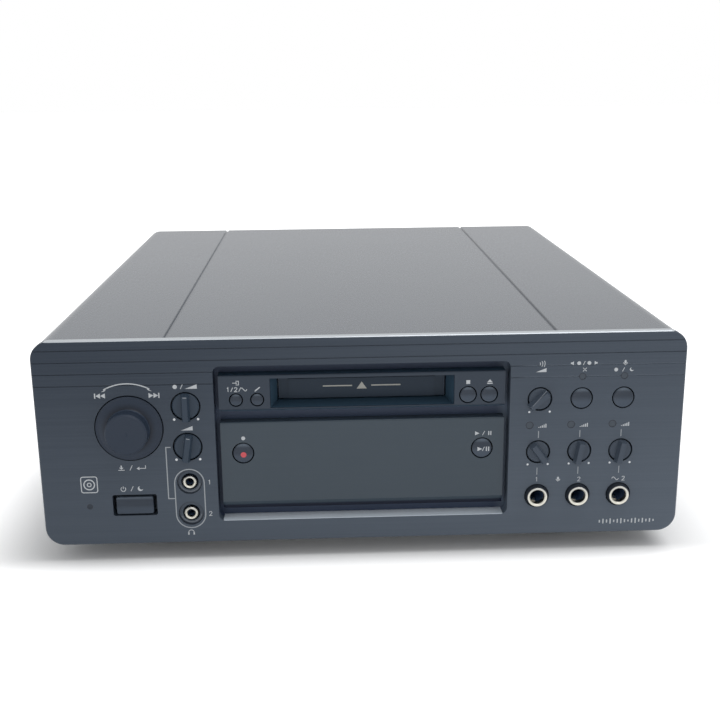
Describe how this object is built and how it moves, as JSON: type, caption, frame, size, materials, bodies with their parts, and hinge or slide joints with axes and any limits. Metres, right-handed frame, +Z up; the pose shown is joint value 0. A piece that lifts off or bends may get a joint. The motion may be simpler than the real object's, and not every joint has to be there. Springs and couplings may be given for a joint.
{
  "type": "minidisc deck",
  "caption": "Compact minidisc deck: slot with sprung flap, smoked display window, jog dial, level knobs, buttons and jacks in a sleeve case on four feet.",
  "frame": {"origin": "on the floor under the middle of the deck, centred between the jog dial and the rear sockets", "axes": "+X to the right as seen from the front, +Y to the rear, +Z up"},
  "size_m": [0.28, 0.3436, 0.1005],
  "materials": {
    "fascia_black": "fine brushed, satin",
    "cover_black": "fine textured powder coat",
    "plain_steel": "zinc plated",
    "moulded_black": "fine moulded",
    "knob_black": "satin",
    "smoked_acrylic": "polished",
    "tube_glass": "smooth",
    "nickel": "nickel plated",
    "lamp_lens": "smoked lens",
    "rubber_black": "matt",
    "circuit_board": "solder mask",
    "copper_winding": "taped winding",
    "core_steel": "varnished laminations",
    "screw_black": "blackened"
  },
  "bodies": {
    "deck": {"base_tray": "plain_steel", "case_screws": "screw_black", "deck_brackets": "plain_steel", "deck_frame": "plain_steel", "display_board": "circuit_board", "display_tube": "tube_glass", "display_window": "smoked_acrylic", "encoder_case": "moulded_black", "feet": "moulded_black", "foot_pads": "rubber_black", "front_panel": "fascia_black", "guide_rods": "nickel", "left_board": "circuit_board", "level_pots": "plain_steel", "line_2_jack": "nickel", "line_sockets": "moulded_black", "main_board": "circuit_board", "mains_inlet": "moulded_black", "mic_1_jack": "nickel", "mic_2_jack": "nickel", "optical_sockets": "moulded_black", "panel_frame": "moulded_black", "phones_1_jack": "nickel", "phones_2_jack": "nickel", "rear_panel": "cover_black", "right_board": "circuit_board", "sled_motor": "plain_steel", "slot_bar": "moulded_black", "slot_key_boards": "circuit_board", "spindle_motor": "plain_steel", "status_lamps": "lamp_lens", "tact_switches": "moulded_black", "top_cover": "cover_black", "transformer_coil": "copper_winding", "transformer_core": "core_steel", "window_tub": "moulded_black"},
    "jog_rotor": {"encoder_rotor": "moulded_black"},
    "jog": {"jog_dial": "knob_black", "jog_shaft": "plain_steel"},
    "flap": {"slot_flap": "moulded_black"},
    "holder": {"cartridge_holder": "plain_steel"},
    "disc_spindle": {"spindle": "nickel"},
    "sled": {"pickup_sled": "moulded_black"},
    "lead": {"lead_screw": "nickel"},
    "rec_level": {"rec_level_knob": "knob_black"},
    "phones_level": {"phones_level_knob": "knob_black"},
    "echo_level": {"echo_level_knob": "knob_black"},
    "mic_1_level": {"mic_1_level_knob": "knob_black"},
    "mic_2_level": {"mic_2_level_knob": "knob_black"},
    "line_2_level": {"line_2_level_knob": "knob_black"},
    "power_key": {"power_button": "knob_black"},
    "input_selector_key": {"input_selector_button": "knob_black"},
    "edit_key": {"edit_button": "knob_black"},
    "stop_key": {"stop_button": "knob_black"},
    "eject_key": {"eject_button": "knob_black"},
    "rec_key": {"rec_button": "knob_black"},
    "play_pause_key": {"play_pause_button": "knob_black"},
    "center_cancel_key": {"center_cancel_button": "knob_black"},
    "mic_standby_key": {"mic_standby_button": "knob_black"}
  },
  "joints": [
    {"name": "jog_turn", "type": "hinge", "parent": "deck", "child": "jog_rotor", "pos_m": [-0.1005, -0.1628, 0.0617], "axis": [0, 1, 0], "continuous": true},
    {"name": "jog_push", "type": "slide", "parent": "jog_rotor", "child": "jog", "axis": [0, 1, 0], "range_m": [0, 0.0008], "stiffness_N_per_m": 800, "springref_m": -0.001},
    {"name": "rec_level_turn", "type": "hinge", "parent": "deck", "child": "rec_level", "pos_m": [-0.0759, -0.1628, 0.0711], "axis": [0, 1, 0], "range_deg": [-140, 140]},
    {"name": "phones_level_turn", "type": "hinge", "parent": "deck", "child": "phones_level", "pos_m": [-0.0759, -0.1628, 0.0528], "axis": [0, 1, 0], "range_deg": [-149, 131]},
    {"name": "echo_level_turn", "type": "hinge", "parent": "deck", "child": "echo_level", "pos_m": [0.0768, -0.1628, 0.0711], "axis": [0, 1, 0], "range_deg": [-188, 92]},
    {"name": "mic_1_level_turn", "type": "hinge", "parent": "deck", "child": "mic_1_level", "pos_m": [0.0768, -0.1628, 0.0469], "axis": [0, 1, 0], "range_deg": [-104, 176]},
    {"name": "mic_2_level_turn", "type": "hinge", "parent": "deck", "child": "mic_2_level", "pos_m": [0.095, -0.1628, 0.0469], "axis": [0, 1, 0], "range_deg": [-150, 130]},
    {"name": "line_2_level_turn", "type": "hinge", "parent": "deck", "child": "line_2_level", "pos_m": [0.1132, -0.1628, 0.0469], "axis": [0, 1, 0], "range_deg": [-150.5, 129.5]},
    {"name": "power_push", "type": "slide", "parent": "deck", "child": "power_key", "axis": [0, 1, 0], "range_m": [0, 0.0015], "stiffness_N_per_m": 600, "springref_m": -0.001},
    {"name": "input_selector_push", "type": "slide", "parent": "deck", "child": "input_selector_key", "axis": [0, 1, 0], "range_m": [0, 0.001], "stiffness_N_per_m": 600, "springref_m": -0.001},
    {"name": "edit_push", "type": "slide", "parent": "deck", "child": "edit_key", "axis": [0, 1, 0], "range_m": [0, 0.001], "stiffness_N_per_m": 600, "springref_m": -0.001},
    {"name": "stop_push", "type": "slide", "parent": "deck", "child": "stop_key", "axis": [0, 1, 0], "range_m": [0, 0.001], "stiffness_N_per_m": 600, "springref_m": -0.001},
    {"name": "eject_push", "type": "slide", "parent": "deck", "child": "eject_key", "axis": [0, 1, 0], "range_m": [0, 0.001], "stiffness_N_per_m": 600, "springref_m": -0.001},
    {"name": "rec_push", "type": "slide", "parent": "deck", "child": "rec_key", "axis": [0, 1, 0], "range_m": [0, 0.001], "stiffness_N_per_m": 600, "springref_m": -0.001},
    {"name": "play_pause_push", "type": "slide", "parent": "deck", "child": "play_pause_key", "axis": [0, 1, 0], "range_m": [0, 0.001], "stiffness_N_per_m": 600, "springref_m": -0.001},
    {"name": "center_cancel_push", "type": "slide", "parent": "deck", "child": "center_cancel_key", "axis": [0, 1, 0], "range_m": [0, 0.001], "stiffness_N_per_m": 600, "springref_m": -0.001},
    {"name": "mic_standby_push", "type": "slide", "parent": "deck", "child": "mic_standby_key", "axis": [0, 1, 0], "range_m": [0, 0.001], "stiffness_N_per_m": 600, "springref_m": -0.001},
    {"name": "flap_swing", "type": "hinge", "parent": "deck", "child": "flap", "pos_m": [0, -0.1516, 0.0802], "axis": [1, 0, 0], "range_deg": [0, 82], "stiffness_Nm_per_rad": 0.002, "springref_deg": -17.19},
    {"name": "holder_lower", "type": "slide", "parent": "deck", "child": "holder", "axis": [0, 0, -1], "range_m": [0, 0.004]},
    {"name": "spindle_spin", "type": "hinge", "parent": "deck", "child": "disc_spindle", "pos_m": [0, -0.1028, 0.068], "axis": [0, 0, 1], "continuous": true},
    {"name": "sled_slide", "type": "slide", "parent": "deck", "child": "sled", "axis": [1, 0, 0], "range_m": [0, 0.014]},
    {"name": "lead_spin", "type": "hinge", "parent": "deck", "child": "lead", "pos_m": [0, -0.0838, 0.057], "axis": [1, 0, 0], "range_deg": [-5, 2525]}
  ],
  "couplings": [
    {"joint": "lead_spin", "follows": "sled_slide", "rad_per_m": 3141.6}
  ]
}
